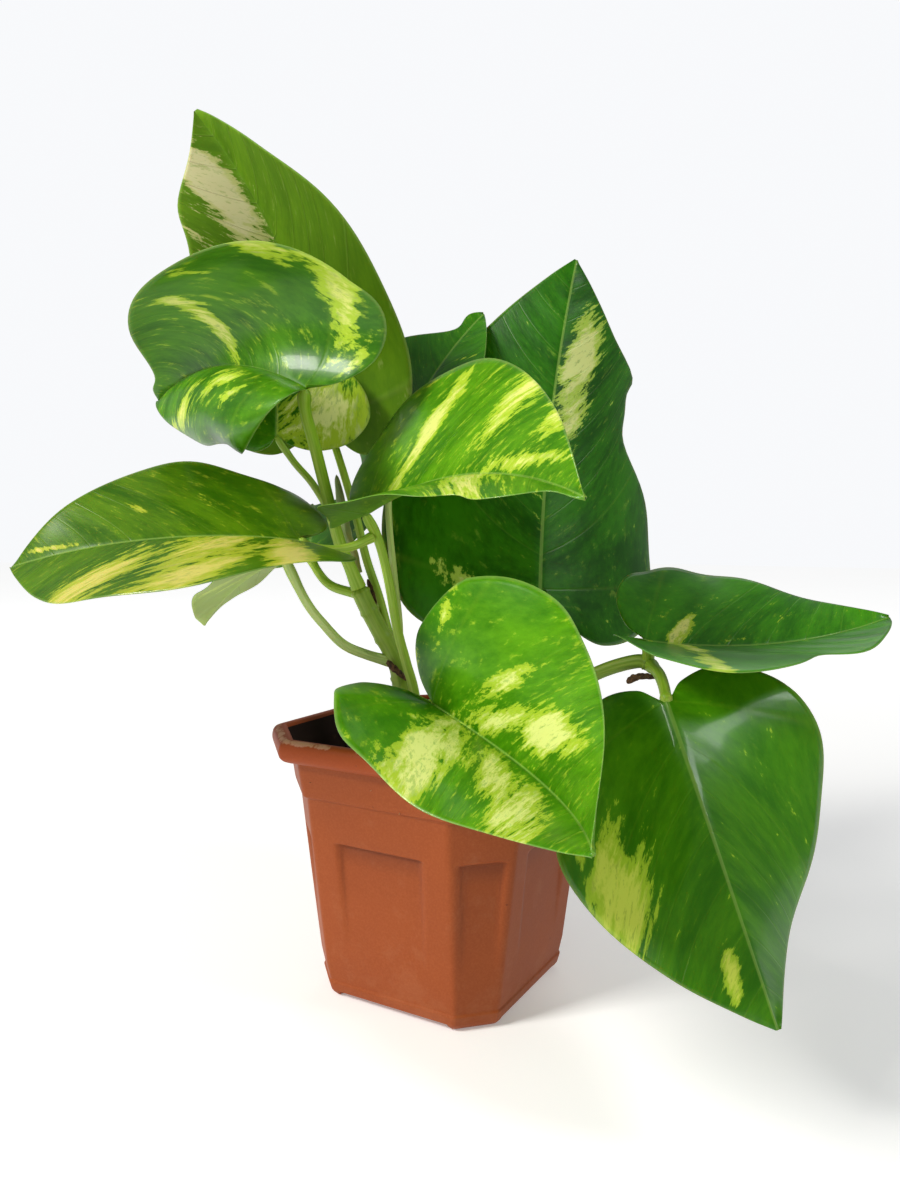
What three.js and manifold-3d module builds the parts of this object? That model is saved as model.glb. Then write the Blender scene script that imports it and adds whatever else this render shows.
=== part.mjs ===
// A young pothos in its square nursery pot.
// Millimetres, +Z up, origin at the centre of the pot's underside, front of the pot towards -Y.

import * as THREE from 'three';
import { mergeVertices } from 'three/addons/utils/BufferGeometryUtils.js';
import Module from 'manifold-3d';

const wasm = await Module();
wasm.setup();

// ---- driving dimensions ----

const GAP = 0.35;                 // clearance between pieces that touch
const POT_HEIGHT = 93;
const LIP_HALF = 52.7;            // half the width across the lip
const BASE_HALF = 35.9;           // half the width at the ridge above the feet
const NECK_BOTTOM = 73;           // height where the plain neck band starts
const LIP_BOTTOM = 85;
const PANEL_TOP = 58;             // top edge of the pressed-in panels
const PANEL_FADE = 20;            // height where the panels have faded out
const PANEL_DEPTH = 1.2;
const WALL = 1.6;
const FLOOR = 4;
const CHAMFER_AT_BASE = 0.30;     // corner chamfer leg, as a share of the half width
const CHAMFER_AT_NECK = 0.385;
const DRAIN_RADIUS = 1.9;
const SOIL_TOP = 80;
const SOCKET_DEPTH = 13;          // how far the stems run down into the soil
const BLADE_THICKNESS = 0.9;
const PLANT_TURN = THREE.MathUtils.degToRad(30);   // how the plant stands in its square pot

const BLADE_COLUMNS = 6;          // cells across a blade, half of them on each side of the midrib
const BLADE_ROWS = 13;            // cells from base to tip
const STEM_SIDES = 8;
const STALK_END = 2.4;            // how far short of its route a stem stops

// ---- solids and cuts ----

function toSolid(geometry) {
  const bare = geometry.clone();
  bare.deleteAttribute('normal');
  bare.deleteAttribute('uv');
  const merged = mergeVertices(bare, 1e-4);
  return new wasm.Manifold(new wasm.Mesh({
    numProp: 3,
    vertProperties: new Float32Array(merged.attributes.position.array),
    triVerts: new Uint32Array(merged.index.array),
  }));
}

function toGeometry(solid) {
  const mesh = solid.getMesh();
  const geometry = new THREE.BufferGeometry();
  geometry.setAttribute('position', new THREE.BufferAttribute(mesh.vertProperties, 3));
  geometry.setIndex(new THREE.BufferAttribute(mesh.triVerts, 1));
  geometry.computeVertexNormals();
  return geometry;
}

// What is left of a solid after the cuts, without the crumbs that a cut leaves behind it.
function cut(solid, tools) {
  let rest = solid;
  for (const tool of tools) {
    rest = rest.subtract(tool);
  }
  const pieces = rest.decompose();
  pieces.sort((a, b) => b.volume() - a.volume());
  return pieces[0];
}

// ---- materials ----

function finish(color, roughness) {
  return new THREE.MeshStandardMaterial({ color, roughness, metalness: 0 });
}

const plastic = () => finish(0xa85a32, 0.45);
const earth = () => finish(0x2a1c12, 0.95);
const leafGreen = () => finish(0x3f8420, 0.35);
const stemGreen = () => finish(0x8fae52, 0.45);
const dryBrown = () => finish(0x5a3a22, 0.8);

// ---- the pot ----

// One side of the pot is a flat face and then the chamfer at its end. Each list says how far
// along it a corner of the outline stands, and whether that corner is inside the panel.
const FACE = [[0, 0], [0.19, 0], [0.215, 1], [0.5, 1], [0.785, 1], [0.81, 0]];
const CHAMFER = [[0, 0], [0.14, 0], [0.19, 1], [0.81, 1], [0.86, 0]];
const STEPS_PER_SIDE = FACE.length + CHAMFER.length;
const OUTLINE_STEPS = 4 * STEPS_PER_SIDE;

function chamferShare(z) {
  const share = THREE.MathUtils.clamp((z - 5) / (NECK_BOTTOM - 5), 0, 1);
  return THREE.MathUtils.lerp(CHAMFER_AT_BASE, CHAMFER_AT_NECK, share);
}

// A corner of the chamfered square with this half width; inset is the panel's depth there.
function outlinePoint(step, half, z, inset) {
  const side = Math.floor(step / STEPS_PER_SIDE) % 4;
  const place = step % STEPS_PER_SIDE;
  const leg = half * chamferShare(z);
  const flat = half - leg;
  const point = new THREE.Vector2();
  if (place < FACE.length) {
    const [along, inPanel] = FACE[place];
    point.set(THREE.MathUtils.lerp(-flat, flat, along), -half + inset * inPanel);
  } else {
    const [along, inPanel] = CHAMFER[place - FACE.length];
    const sunk = inset * inPanel * Math.SQRT1_2;
    point.set(flat + leg * along - sunk, -half + leg * along + sunk);
  }
  return point.rotateAround(new THREE.Vector2(), side * Math.PI / 2);
}

// A lathe turned round the profile, then pushed out from round to the pot's outline.
// Each profile point is [half width, height, panel depth].
function squareLathe(profile) {
  const points = profile.map(([half, z]) => new THREE.Vector2(half, z));
  const geometry = new THREE.LatheGeometry(points, OUTLINE_STEPS);
  const position = geometry.attributes.position;
  for (let i = 0; i < position.count; i += 1) {
    const [half, z, inset] = profile[i % profile.length];
    const step = Math.floor(i / profile.length) % OUTLINE_STEPS;
    const corner = outlinePoint(step, half, z, inset);
    position.setXYZ(i, corner.x, corner.y, z);
  }
  return geometry;
}

function bodyHalf(z) {
  return THREE.MathUtils.mapLinear(z, 5.5, NECK_BOTTOM, BASE_HALF, 44.3);
}

function buildPot() {
  const outside = [
    [0, 0, 0],
    [BASE_HALF - 2.6, 0, 0],
    [BASE_HALF - 0.9, 1.8, 0],
    [BASE_HALF, 5.4, 0],
    [BASE_HALF - 0.4, 6.1, 0],
    [bodyHalf(PANEL_FADE), PANEL_FADE, 0],
    [bodyHalf(PANEL_TOP - 1), PANEL_TOP - 1, PANEL_DEPTH],
    [bodyHalf(PANEL_TOP), PANEL_TOP, 0],
    [bodyHalf(NECK_BOTTOM - 1.2), NECK_BOTTOM - 1.2, 0],
    [bodyHalf(NECK_BOTTOM) + 1.1, NECK_BOTTOM, 0],
    [bodyHalf(NECK_BOTTOM) + 1.5, NECK_BOTTOM + 1.5, 0],
    [47.2, LIP_BOTTOM, 0],
    [LIP_HALF - 2, LIP_BOTTOM + 0.3, 0],
    [LIP_HALF - 0.4, LIP_BOTTOM + 1.8, 0],
    [LIP_HALF, LIP_BOTTOM + 4.2, 0],
    [LIP_HALF - 0.6, POT_HEIGHT - 1.2, 0],
    [LIP_HALF - 2.2, POT_HEIGHT, 0],
    [LIP_HALF - 4.4, POT_HEIGHT, 0],
  ];
  const inside = [
    [47.2 - WALL, LIP_BOTTOM, 0],
    [bodyHalf(NECK_BOTTOM) - 0.2, NECK_BOTTOM, 0],
    [bodyHalf(PANEL_TOP) - WALL, PANEL_TOP, 0],
    [bodyHalf(PANEL_TOP - 1) - WALL, PANEL_TOP - 1, PANEL_DEPTH],
    [bodyHalf(PANEL_FADE) - WALL, PANEL_FADE, 0],
    [BASE_HALF - 2.2, FLOOR, 0],
    [0, FLOOR, 0],
  ];
  let pot = toSolid(squareLathe([...outside, ...inside]));
  for (let side = 0; side < 4; side += 1) {
    const turn = side * Math.PI / 2;
    const channel = new THREE.BoxGeometry(45, 16, 2 * 2.2).translate(0, -BASE_HALF + 4, 0);
    pot = pot.subtract(toSolid(channel.rotateZ(turn)));
    for (const x of [-12, 12]) {
      const drain = new THREE.CylinderGeometry(DRAIN_RADIUS, DRAIN_RADIUS, 4 * FLOOR, 16);
      drain.rotateX(Math.PI / 2).translate(x, -BASE_HALF + 8.5, 0).rotateZ(turn);
      pot = pot.subtract(toSolid(drain));
    }
  }
  return pot;
}

function buildSoil(tools) {
  const room = WALL + GAP;
  const soil = toSolid(squareLathe([
    [0, FLOOR + GAP, 0],
    [BASE_HALF - 3, FLOOR + GAP, 0],
    [bodyHalf(PANEL_TOP - 3) - room - PANEL_DEPTH, PANEL_TOP - 3, 0],
    [bodyHalf(NECK_BOTTOM) - room, NECK_BOTTOM, 0],
    [bodyHalf(SOIL_TOP) - room + 0.2, SOIL_TOP, 0],
    [0, SOIL_TOP, 0],
  ]));
  return cut(soil, tools);
}

// ---- stems ----
// The plant's own frame: x to the right, y to the back, z up, standing on the pot's origin.

function stemSolid(stem, clearance) {
  const points = stem.route.map(([x, y, z]) => new THREE.Vector3(x, y, z));
  const last = points.length - 1;
  const lastStep = points[last].clone().sub(points[last - 1]);
  points[last].addScaledVector(lastStep.normalize(), -STALK_END);
  if (clearance > 0) {
    const startward = points[0].clone().sub(points[1]).setLength(clearance);
    const endward = points[last].clone().sub(points[last - 1]).setLength(clearance);
    points[0].add(startward);
    points[last].add(endward);
  }
  const path = new THREE.CatmullRomCurve3(points);
  const section = new THREE.Shape();
  section.absarc(0, 0, stem.radius + clearance, 0, 2 * Math.PI);
  const steps = Math.max(3, Math.round(path.getLength() / 8));
  return toSolid(new THREE.ExtrudeGeometry(section, {
    steps,
    curveSegments: STEM_SIDES,
    extrudePath: path,
    bevelEnabled: false,
  }));
}

const FOOT = SOIL_TOP - SOCKET_DEPTH;

// The rooted vine that carries most of the leaves, and the shorter one that leans out to the right.
const vines = {
  vine_main: {
    radius: 3.2,
    route: [[-12, 0, FOOT], [-13, 0, SOIL_TOP], [-15, 0, 104], [-17, 0, 115],
      [-23, -1, 127], [-27, -2, 135], [-30, -3, 142]],
  },
  vine_side: {
    radius: 2.3,
    route: [[14, -12, FOOT], [16, -12, SOIL_TOP], [27, -16, 98], [42, -22, 109],
      [53, -27, 116], [63, -33, 120], [67, -35, 119]],
  },
};

// Leaf stalks, each from where it leaves its vine or the soil to the base of its own blade.
const petioles = {
  petiole_upper_left: {
    radius: 2.3,
    route: [[-30, -3, 142], [-33, -5, 150], [-36, -8, 158], [-39, -11, 171],
      [-43, -18, 191], [-45, -23, 201], [-45, -26, 208]],
  },
  petiole_top_back: {
    radius: 1.7,
    route: [[-19, 1, 121], [-23, 4, 137], [-28, 6, 152], [-32, 8, 168], [-39, 18, 189], [-47, 34, 208]],
  },
  petiole_behind_upper_left: {
    radius: 1.5,
    route: [[-30, 1, 141], [-36, 2, 157], [-41, 3, 169], [-47, 4, 179], [-54, 6, 187], [-60, 6, 196]],
  },
  petiole_small_middle: {
    radius: 1.4,
    route: [[-17, 3, 112], [-16, 6, 126], [-18, 7, 146], [-20, 9, 168], [-20, 18, 189]],
  },
  petiole_arched_middle: {
    radius: 1.9,
    route: [[-6, -6, FOOT], [-7, -6, SOIL_TOP], [-10, -7, 104], [-13, -8, 116], [-16, -9, 128],
      [-19, -11, 146], [-22, -15, 159], [-26, -21, 168]],
  },
  petiole_low_left: {
    radius: 1.6,
    route: [[-24, -17, 160], [-30, -21, 157], [-36, -26, 156], [-42, -30, 157], [-46, -33, 159]],
  },
  petiole_hanging_left: {
    radius: 1.9,
    route: [[-18, 0, 115], [-27, -3, 118], [-35, -6, 122], [-41, -10, 129],
      [-47, -14, 138], [-54, -18, 154]],
  },
  petiole_behind_stems: {
    radius: 1.9,
    route: [[-28, 0, 139], [-34, 4, 140], [-41, 8, 142], [-46, 13, 146], [-51, 16, 154]],
  },
  petiole_over_rim: {
    radius: 2,
    route: [[-2, -16, FOOT], [-3, -17, SOIL_TOP], [-4, -24, 96], [-4, -36, 105], [-3, -49, 109]],
  },
  petiole_tall_right: {
    radius: 2.3,
    route: [[4, 4, FOOT], [5, 4, SOIL_TOP], [12, 9, 103], [22, 13, 120], [31, 11, 133], [35, 3, 141]],
  },
  petiole_far_right: {
    radius: 2.2,
    route: [[66, -34, 119], [66, -36, 123], [65, -37, 127]],
  },
  petiole_heart_front: {
    radius: 2,
    route: [[67, -36, 119], [67, -47, 118], [66, -58, 116], [65, -66, 113]],
  },
};

// Sheaths left at the joints of the stems, one still pale and the others dry.
const sheaths = {
  sheath_pale: { radius: 1.5, route: [[-30, 1, 147], [-34, 1, 159], [-36, 1, 171], [-38, 1, 182]] },
  sheath_dry_middle: { radius: 0.9, route: [[-25, 2, 131], [-25, -1, 138], [-27, -1, 145]] },
  sheath_dry_low: { radius: 0.9, route: [[-20, -6, 116], [-16, -5, 112], [-13, -4, 109]] },
  sheath_dry_right: { radius: 1.1, route: [[60, -33, 113], [64, -35, 115], [69, -36, 115]] },
};

// ---- leaf blades ----

// Half of a blade laid flat: [share of the half width, share of the length from base to tip].
// The lobes reach back past the base, where the stalk joins.
const MARGIN = new THREE.SplineCurve([
  [0.03, 0], [0.16, -0.085], [0.45, -0.135], [0.80, -0.06], [0.985, 0.14],
  [0.97, 0.36], [0.78, 0.60], [0.46, 0.80], [0.17, 0.935], [0.012, 1],
].map(([x, y]) => new THREE.Vector2(x, y)));

const LOBE_ROWS = 0.3;            // the share of the rows that fan out around the base
const LOBE_SPREAD = 0.05;         // the length of midrib that they fan out from

const flatBlade = {
  halves: [1, 1], roll: 0, bend: 0, sway: 0, twist: 0, lobe: 0,
  fold: [0, 0], foldTip: null, curl: [0, 0], curlTip: null,
};

// heading is the way the tip points, in degrees clockwise from the back seen from above;
// rise is the slope of the midrib at the base, and roll lowers the blade's right side.
// bend, sway and twist are what the midrib turns through from base to tip: down, to the right,
// and about itself. fold lifts each half [left, right] like a book, and curl rolls it upwards,
// at the base and at the tip.
const blades = {
  leaf_top_back: {
    base: [-47, 34, 208], heading: 190, rise: 76, roll: 2, length: 114, width: 97,
    bend: 9, sway: 36, twist: -4, fold: [-29, -14], foldTip: [-45, -23],
  },
  leaf_upper_left: {
    base: [-45, -26, 208], heading: -54, rise: 28, roll: 5, length: 90, width: 92,
    bend: 50, sway: 15, twist: -68, fold: [24, 51], foldTip: [19, 82],
    curl: [-190, 90], curlTip: [-185, 104], lobe: -8,
  },
  leaf_behind_upper_left: {
    base: [-60, 6, 196], heading: 0, rise: 80, length: 40, width: 67, halves: [0.55, 1], bend: 8,
  },
  leaf_small_middle: {
    base: [-20, 18, 189], heading: 78, rise: 67, roll: 9, length: 72, width: 84, halves: [1, 0.6],
    bend: 26, sway: -18, twist: 24, fold: [2, -3], foldTip: [27, -13],
  },
  leaf_arched_middle: {
    base: [-26, -21, 168], heading: 133, rise: 23, roll: -16, length: 100, width: 83,
    halves: [1, 0.6], bend: 45, sway: 2, twist: 21, fold: [74, -15], foldTip: [81, -31], lobe: -4,
  },
  leaf_tall_right: {
    base: [35, 3, 141], heading: 7, rise: 72, roll: 12, length: 129, width: 121,
    bend: -10, sway: 9, fold: [-11, -13], foldTip: [-20, -22], curl: [-2, -31], curlTip: [-6, -49],
  },
  leaf_low_left: {
    base: [-46, -33, 159], heading: -113, rise: 7, roll: -15, length: 95, width: 88,
    bend: 37, sway: 35, twist: -16, fold: [7, 12], foldTip: [-3, 18],
  },
  leaf_hanging_left: {
    base: [-54, -18, 154], heading: -58, rise: -20, roll: -7, length: 52, width: 42,
    bend: 23, sway: 8, fold: [0, 1], foldTip: [0, 6],
  },
  leaf_behind_stems: {
    base: [-51, 16, 154], heading: 2, rise: 33, roll: -11, length: 44, width: 48,
    bend: 13, sway: -14, fold: [0, 7], foldTip: [0, 10],
  },
  leaf_over_rim: {
    base: [-3, -49, 109], heading: 134, rise: -18, roll: 39, length: 107, width: 94,
    bend: -49, sway: 27, fold: [61, 55], foldTip: [32, 27], curl: [-29, -11], curlTip: [2, 9], lobe: 4,
  },
  leaf_far_right: {
    base: [65, -37, 127], heading: 96, rise: -7, roll: -19, length: 85, width: 76,
    bend: -31, sway: -18, fold: [66, -18], foldTip: [58, -23], curl: [-17, -7], curlTip: [-14, 1],
    lobe: -5,
  },
  leaf_heart_front: {
    base: [65, -66, 113], heading: 166, rise: -48, roll: 15, length: 89, width: 96,
    bend: 23, sway: -5, twist: -19, fold: [-16, -30], foldTip: [-35, -17],
    curl: [5, -31], curlTip: [8, -26],
  },
};

const radians = THREE.MathUtils.degToRad;

// The midrib's direction, the blade's right and its upper face, at a share of the length.
function ribFrame(blade, share) {
  const heading = radians(blade.heading);
  const rise = radians(blade.rise);
  const roll = radians(blade.roll);
  const forward = new THREE.Vector3(
    Math.sin(heading) * Math.cos(rise), Math.cos(heading) * Math.cos(rise), Math.sin(rise));
  const right = new THREE.Vector3(Math.cos(heading), -Math.sin(heading), 0);
  right.applyAxisAngle(forward, roll);
  const turned = Math.max(share, 0);
  const up = right.clone().cross(forward);
  const bend = -radians(blade.bend) * share;
  const along = forward.clone().multiplyScalar(Math.cos(bend)).addScaledVector(up, Math.sin(bend));
  const top = up.clone().multiplyScalar(Math.cos(bend)).addScaledVector(forward, -Math.sin(bend));
  const sway = radians(blade.sway) * turned;
  const swayed = along.clone().multiplyScalar(Math.cos(sway)).addScaledVector(right, Math.sin(sway));
  right.multiplyScalar(Math.cos(sway)).addScaledVector(along, -Math.sin(sway));
  const twist = radians(blade.twist) * share;
  const side = right.clone().multiplyScalar(Math.cos(twist)).addScaledVector(top, -Math.sin(twist));
  top.multiplyScalar(Math.cos(twist)).addScaledVector(right, Math.sin(twist));
  return { along: swayed, side, top };
}

// The midrib as a run of points, followed from the base both ways.
function ribPoint(blade, share) {
  const steps = 24;
  const point = new THREE.Vector3(...blade.base);
  for (let i = 0; i < steps; i += 1) {
    const { along } = ribFrame(blade, share * (i + 0.5) / steps);
    point.addScaledVector(along, blade.length * share / steps);
  }
  return point;
}

// A point of the blade: across runs from -1 at the left margin to 1 at the right one,
// row from 0 at the base to 1 at the tip, and lift is the distance above the middle layer.
function bladePoint(blade, across, row, lift, grow) {
  const sign = Math.sign(across);
  const reach = Math.abs(across);
  const margin = MARGIN.getPoint(row);
  const ribShare = row < LOBE_ROWS
    ? LOBE_SPREAD * row / LOBE_ROWS
    : LOBE_SPREAD + (1 - LOBE_SPREAD) * ((row - LOBE_ROWS) / (1 - LOBE_ROWS)) ** 1.15;
  const x = margin.x * reach;
  const index = sign < 0 ? 0 : 1;
  const half = blade.width / 2 * blade.halves[index];
  const tangent = MARGIN.getTangent(row);
  const outward = new THREE.Vector2(tangent.y * blade.length, -tangent.x * half).setLength(grow * reach);
  if (row === 0) {
    outward.y = -grow;
  }
  const share = THREE.MathUtils.lerp(ribShare, margin.y, reach) + outward.y / blade.length;
  const { side, top } = ribFrame(blade, share);
  const point = ribPoint(blade, share);
  const toTip = THREE.MathUtils.clamp(share, 0, 1);
  const foldTip = blade.foldTip ?? blade.fold;
  const curlTip = blade.curlTip ?? blade.curl;
  const fold = radians(THREE.MathUtils.lerp(blade.fold[index], foldTip[index], toTip));
  const curl = radians(THREE.MathUtils.lerp(blade.curl[index], curlTip[index], toTip)) || 1e-3;
  const angle = fold + curl * x;
  const out = half * (Math.sin(angle) - Math.sin(fold)) / curl + outward.x * Math.cos(angle);
  const high = half * (Math.cos(fold) - Math.cos(angle)) / curl + outward.x * Math.sin(angle);
  const droop = blade.lobe * THREE.MathUtils.clamp(-share / 0.13, 0, 1) ** 1.5 * x;
  point.addScaledVector(side, sign * out);
  point.addScaledVector(top, high - droop);
  const lean = reach > 0 ? angle : 0;
  point.addScaledVector(top, lift * Math.cos(lean));
  point.addScaledVector(side, -lift * sign * Math.sin(lean));
  return point;
}

function bladeSolid(shape, clearance) {
  const blade = { ...flatBlade, ...shape };
  const thickness = BLADE_THICKNESS + 2 * clearance;
  const geometry = new THREE.BoxGeometry(2, 1, 1, BLADE_COLUMNS, BLADE_ROWS, 1);
  const position = geometry.attributes.position;
  for (let i = 0; i < position.count; i += 1) {
    const row = position.getY(i) + 0.5;
    const lift = position.getZ(i) * thickness;
    const point = bladePoint(blade, position.getX(i), row, lift, clearance);
    position.setXYZ(i, point.x, point.y, point.z);
  }
  return toSolid(geometry);
}

// ---- assembly ----

const group = new THREE.Group();
const plant = new THREE.Group();
plant.rotation.z = PLANT_TURN;
group.add(plant);

function addPiece(parent, name, solid, material) {
  const mesh = new THREE.Mesh(toGeometry(solid), material);
  mesh.name = name;
  parent.add(mesh);
}

const stemTools = (stems) => Object.values(stems).map((stem) => stemSolid(stem, GAP));
const vineTools = stemTools(vines);
const petioleTools = stemTools(petioles);

addPiece(group, 'pot', buildPot(), plastic());

const soilTools = [...vineTools, ...petioleTools].map((tool) => tool.rotate([0, 0, 30]));
addPiece(group, 'soil', buildSoil(soilTools), earth());

for (const [name, stem] of Object.entries(vines)) {
  addPiece(plant, name, stemSolid(stem, 0), stemGreen());
}

// A stalk is cut back from its vine, from the stalks built before it and from its blade.
const built = [...vineTools];
for (const [name, stem] of Object.entries(petioles)) {
  const blade = blades[name.replace('petiole', 'leaf')];
  const stalk = cut(stemSolid(stem, 0), [...built, bladeSolid(blade, 2 * GAP), bladeSolid(blade, 0)]);
  addPiece(plant, name, stalk, stemGreen());
  built.push(stemSolid(stem, GAP));
}

for (const [name, stem] of Object.entries(sheaths)) {
  const material = name === 'sheath_pale' ? stemGreen() : dryBrown();
  addPiece(plant, name, cut(stemSolid(stem, 0), built), material);
  built.push(stemSolid(stem, GAP));
}

for (const [name, blade] of Object.entries(blades)) {
  addPiece(plant, name, bladeSolid(blade, 0), leafGreen());
}

export default group;
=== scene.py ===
"""A young pothos in its square nursery pot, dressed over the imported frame. Metres, +Z up."""

import math

import bmesh
import bpy
import numpy as np
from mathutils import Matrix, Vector, kdtree, noise


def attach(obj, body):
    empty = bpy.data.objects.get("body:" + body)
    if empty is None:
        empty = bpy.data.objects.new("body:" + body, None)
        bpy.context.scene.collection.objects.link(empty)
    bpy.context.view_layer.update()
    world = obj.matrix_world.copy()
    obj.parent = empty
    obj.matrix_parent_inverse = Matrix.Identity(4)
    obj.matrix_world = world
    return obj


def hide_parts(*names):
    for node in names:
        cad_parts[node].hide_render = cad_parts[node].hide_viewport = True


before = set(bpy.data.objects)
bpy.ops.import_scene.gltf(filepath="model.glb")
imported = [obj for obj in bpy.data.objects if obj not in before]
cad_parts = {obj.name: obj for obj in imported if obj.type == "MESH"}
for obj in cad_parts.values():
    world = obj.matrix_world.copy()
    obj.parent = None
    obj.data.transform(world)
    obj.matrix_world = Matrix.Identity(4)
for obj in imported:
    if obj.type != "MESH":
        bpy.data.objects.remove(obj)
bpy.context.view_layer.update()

# ---- the set: camera, floor and light ----
# A pale floor under an even sky, a strong soft light high on the left of the plant and weaker ones
# on its right and behind it. The plant looks out between two sides of its pot, so its own frame,
# x to the right and y to the back, is turned from the pot's.

PLANT_TURN = math.radians(30)
PLANT_MIDDLE = Vector((0, 0, 0.16))
EYE = (0.0024, -0.3314, 0.1626)
LOOK_DOWN = math.radians(4.35)
LENS = 27.84


def rotated(x, y, angle):
    """A place's x and y after a turn about the upright axis."""
    c, s = np.cos(angle), np.sin(angle)
    return x * c - y * s, x * s + y * c


def to_pot(points):
    """Points of the plant's own frame, in the pot's frame."""
    points = np.asarray(points, float)
    x, y = rotated(points[..., 0], points[..., 1], PLANT_TURN)
    return np.stack([x, y, points[..., 2]], axis=-1)


scene = bpy.context.scene
scene.view_settings.view_transform = "Standard"

camera_data = bpy.data.cameras.new("camera")
camera_data.lens = LENS
camera = bpy.data.objects.new("camera", camera_data)
camera.location = to_pot(EYE)
camera.rotation_euler = (math.pi / 2 - LOOK_DOWN, 0, PLANT_TURN)
scene.collection.objects.link(camera)
scene.camera = camera


def soft_light(name, place, size, power, colour):
    """A square softbox at a place in the plant's frame, turned to the plant."""
    data = bpy.data.lights.new(name, "AREA")
    data.size = size
    data.energy = power
    data.color = colour
    light = bpy.data.objects.new(name, data)
    light.location = to_pot(place)
    towards = PLANT_MIDDLE - light.location
    light.rotation_euler = towards.to_track_quat("-Z", "Y").to_euler()
    scene.collection.objects.link(light)


soft_light("key_light", (-0.88, -0.54, 0.95), 0.36, 17, (1.0, 0.98, 0.94))
soft_light("window_light", (0.67, -0.32, 0.73), 0.20, 2.2, (0.96, 0.98, 1.0))
soft_light("back_light", (0.25, 0.85, 0.90), 0.70, 1.2, (1.0, 1.0, 1.0))


class Value:
    """An output socket in a node tree. Arithmetic on it adds Math nodes."""

    def __init__(self, graph, socket):
        self.graph = graph
        self.socket = socket

    def math(self, operation, *others):
        return self.graph.math(operation, self, *others)

    def __add__(self, other):
        return self.math("ADD", other)

    def __sub__(self, other):
        return self.math("SUBTRACT", other)

    def __mul__(self, other):
        return self.math("MULTIPLY", other)

    def __radd__(self, other):
        return self.graph.math("ADD", other, self)

    def __rsub__(self, other):
        return self.graph.math("SUBTRACT", other, self)

    def __rmul__(self, other):
        return self.graph.math("MULTIPLY", other, self)

    def __abs__(self):
        return self.math("ABSOLUTE")


class Graph:
    """A node tree, filled through one method."""

    def __init__(self, tree):
        self.tree = tree

    def add(self, kind, settings=None, inputs=None, out=0):
        """A new node's output, by its number or name, or all of its outputs."""
        node = self.tree.nodes.new(kind)
        for key, setting in (settings or {}).items():
            setattr(node, key, setting)
        for key, given in (inputs or {}).items():
            socket = next(s for s in node.inputs if key in (s.identifier, s.name) and s.enabled)
            if isinstance(given, Value):
                self.tree.links.new(given.socket, socket)
            else:
                socket.default_value = given
        outputs = [Value(self, socket) for socket in node.outputs]
        if out == "all" or not outputs:
            return outputs
        if isinstance(out, str):
            return next(v for v in outputs if out in (v.socket.identifier, v.socket.name))
        return outputs[out]

    def math(self, operation, *operands):
        inputs = dict(zip(("Value", "Value_001"), operands))
        return self.add("ShaderNodeMath", {"operation": operation}, inputs)

    def mix(self, factor, a, b):
        """Colour a turning into colour b."""
        inputs = {"Factor_Float": factor, "A_Color": a, "B_Color": b}
        return self.add("ShaderNodeMix", {"data_type": "RGBA"}, inputs, "Result_Color")

    def over(self, colour, *layers):
        """A colour with others laid over it in turn, each through its own mask."""
        for mask, layer in layers:
            colour = self.mix(mask, colour, layer)
        return colour

    def step(self, value, low, high):
        """0 below low and 1 above high, with a smooth rise between them."""
        inputs = {"Value": value, "From Min": low, "From Max": high}
        return self.add("ShaderNodeMapRange", {"interpolation_type": "SMOOTHSTEP"}, inputs)

    def speckle(self, vector, scale, detail=2.0, roughness=0.5):
        """Noise from 0 to 1, with a mean of a half."""
        inputs = {"Vector": vector, "Scale": scale, "Detail": detail, "Roughness": roughness}
        return self.add("ShaderNodeTexNoise", {}, inputs)

    def place(self):
        """The point of the object that is being painted."""
        return self.add("ShaderNodeTexCoord", {}, {}, "Object")

    def known(self, name):
        """The vector that the mesh stores under a name, at the point that is being painted."""
        return self.add("ShaderNodeAttribute", {"attribute_name": name}, {}, "Vector")

    def parts_of(self, vector):
        return self.add("ShaderNodeSeparateXYZ", {}, {"Vector": vector}, "all")

    def vector(self, x, y, z):
        return self.add("ShaderNodeCombineXYZ", {}, {"X": x, "Y": y, "Z": z})

    def bump(self, height, distance):
        inputs = {"Height": height, "Strength": 1.0, "Distance": distance}
        return self.add("ShaderNodeBump", {}, inputs)


def rgb(red, green, blue):
    """A colour given from 0 to 255 as it shows on a screen, in Blender's linear values."""
    shares = [c / 255 for c in (red, green, blue)]
    return (*(((c + 0.055) / 1.055) ** 2.4 if c > 0.0404 else c / 12.92 for c in shares), 1.0)


def new_finish(name):
    """An empty material and its graph."""
    material = bpy.data.materials.new(name)
    material.use_nodes = True
    material.node_tree.nodes.clear()
    return material, Graph(material.node_tree)


def surface(graph, inputs):
    shader = graph.add("ShaderNodeBsdfPrincipled", {}, inputs)
    graph.add("ShaderNodeOutputMaterial", {}, {"Surface": shader})


def build_mesh(name, points, faces, material):
    """A new object from points and faces, with its faces turned outwards."""
    mesh = bpy.data.meshes.new(name)
    mesh.from_pydata([tuple(p) for p in points], [], faces)
    solid = bmesh.new()
    solid.from_mesh(mesh)
    if solid.calc_volume(signed=True) < 0:
        bmesh.ops.reverse_faces(solid, faces=solid.faces)
        solid.to_mesh(mesh)
    solid.free()
    mesh.materials.append(material)
    mesh.polygons.foreach_set("use_smooth", [True] * len(mesh.polygons))
    piece = bpy.data.objects.new(name, mesh)
    scene.collection.objects.link(piece)
    return piece


# The floor glows a little, less near the pot than far from it, so that it stays pale all over.
FLOOR_REACH = 4.0
DIM_WITHIN = 0.15
FULL_BEYOND = 1.3

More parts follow.
